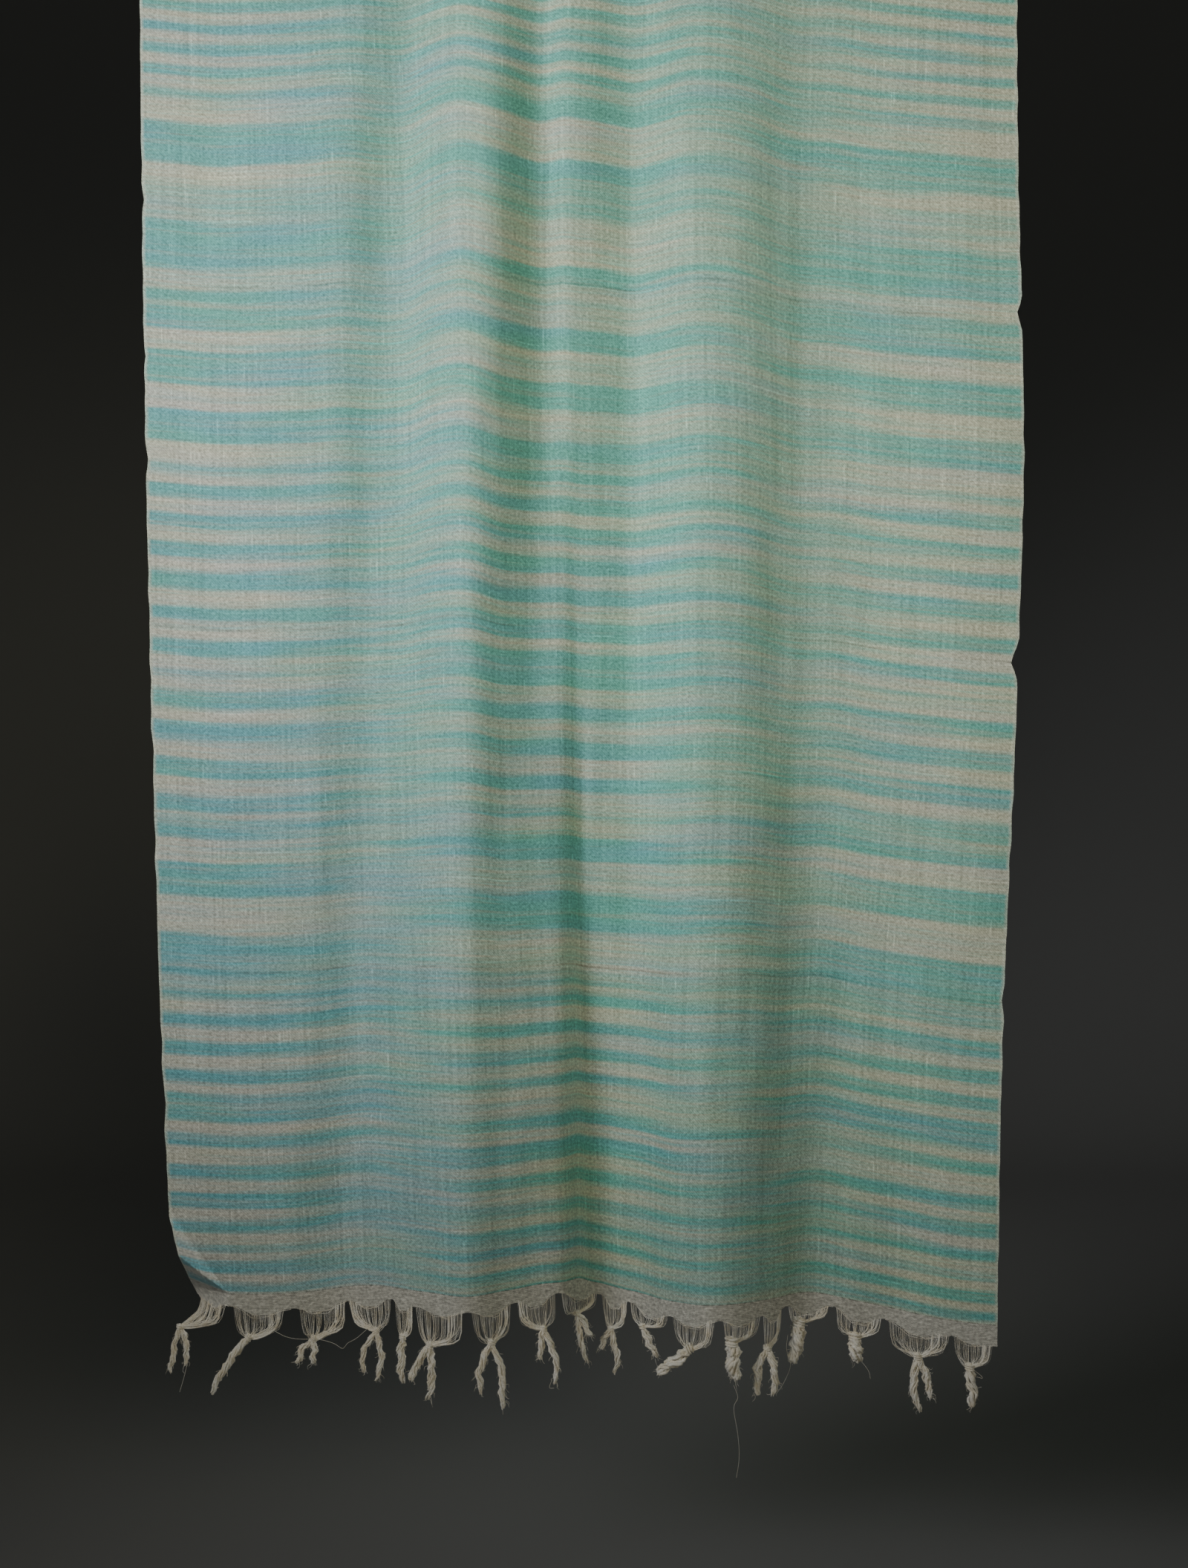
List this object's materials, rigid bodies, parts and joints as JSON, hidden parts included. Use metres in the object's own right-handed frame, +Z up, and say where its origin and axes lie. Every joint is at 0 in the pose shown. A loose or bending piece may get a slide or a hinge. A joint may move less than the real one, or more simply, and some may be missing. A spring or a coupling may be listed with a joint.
{
  "type": "cashmere scarf draped over a wooden rod",
  "caption": "Long fringed woven scarf with crosswise stripes, hung over a round wooden rod at its middle, in soft lengthwise folds.",
  "frame": {"origin": "on the rod's axis, halfway along the rod, which is where the rod is held up", "axes": "X runs along the rod, -Y is the side that faces the viewer, Z is up"},
  "size_m": [0.86, 0.119, 1.1636],
  "materials": {
    "striped_twill": "soft brushed cashmere twill, matte",
    "plain_band": "open plain weave, matte",
    "fringe_yarn": "felted wool yarn, matte",
    "varnished_wood": "clear gloss varnish"
  },
  "bodies": {
    "root": {"rod": "varnished_wood", "cloth_over_rod": "striped_twill", "cloth_front": "striped_twill", "cloth_back": "striped_twill", "band_front": "plain_band", "band_back": "plain_band", "tassel_front_01": "fringe_yarn", "tassel_front_02": "fringe_yarn", "tassel_front_03": "fringe_yarn", "tassel_front_04": "fringe_yarn", "tassel_front_05": "fringe_yarn", "tassel_front_06": "fringe_yarn", "tassel_front_07": "fringe_yarn", "tassel_front_08": "fringe_yarn", "tassel_front_09": "fringe_yarn", "tassel_front_10": "fringe_yarn", "tassel_front_11": "fringe_yarn", "tassel_front_12": "fringe_yarn", "tassel_front_13": "fringe_yarn", "tassel_front_14": "fringe_yarn", "tassel_front_15": "fringe_yarn", "tassel_front_16": "fringe_yarn", "tassel_front_17": "fringe_yarn", "tassel_front_18": "fringe_yarn", "tassel_back_01": "fringe_yarn", "tassel_back_02": "fringe_yarn", "tassel_back_03": "fringe_yarn", "tassel_back_04": "fringe_yarn", "tassel_back_05": "fringe_yarn", "tassel_back_06": "fringe_yarn", "tassel_back_07": "fringe_yarn", "tassel_back_08": "fringe_yarn", "tassel_back_09": "fringe_yarn", "tassel_back_10": "fringe_yarn", "tassel_back_11": "fringe_yarn", "tassel_back_12": "fringe_yarn", "tassel_back_13": "fringe_yarn", "tassel_back_14": "fringe_yarn", "tassel_back_15": "fringe_yarn", "tassel_back_16": "fringe_yarn", "tassel_back_17": "fringe_yarn", "tassel_back_18": "fringe_yarn"}
  },
  "joints": []
}
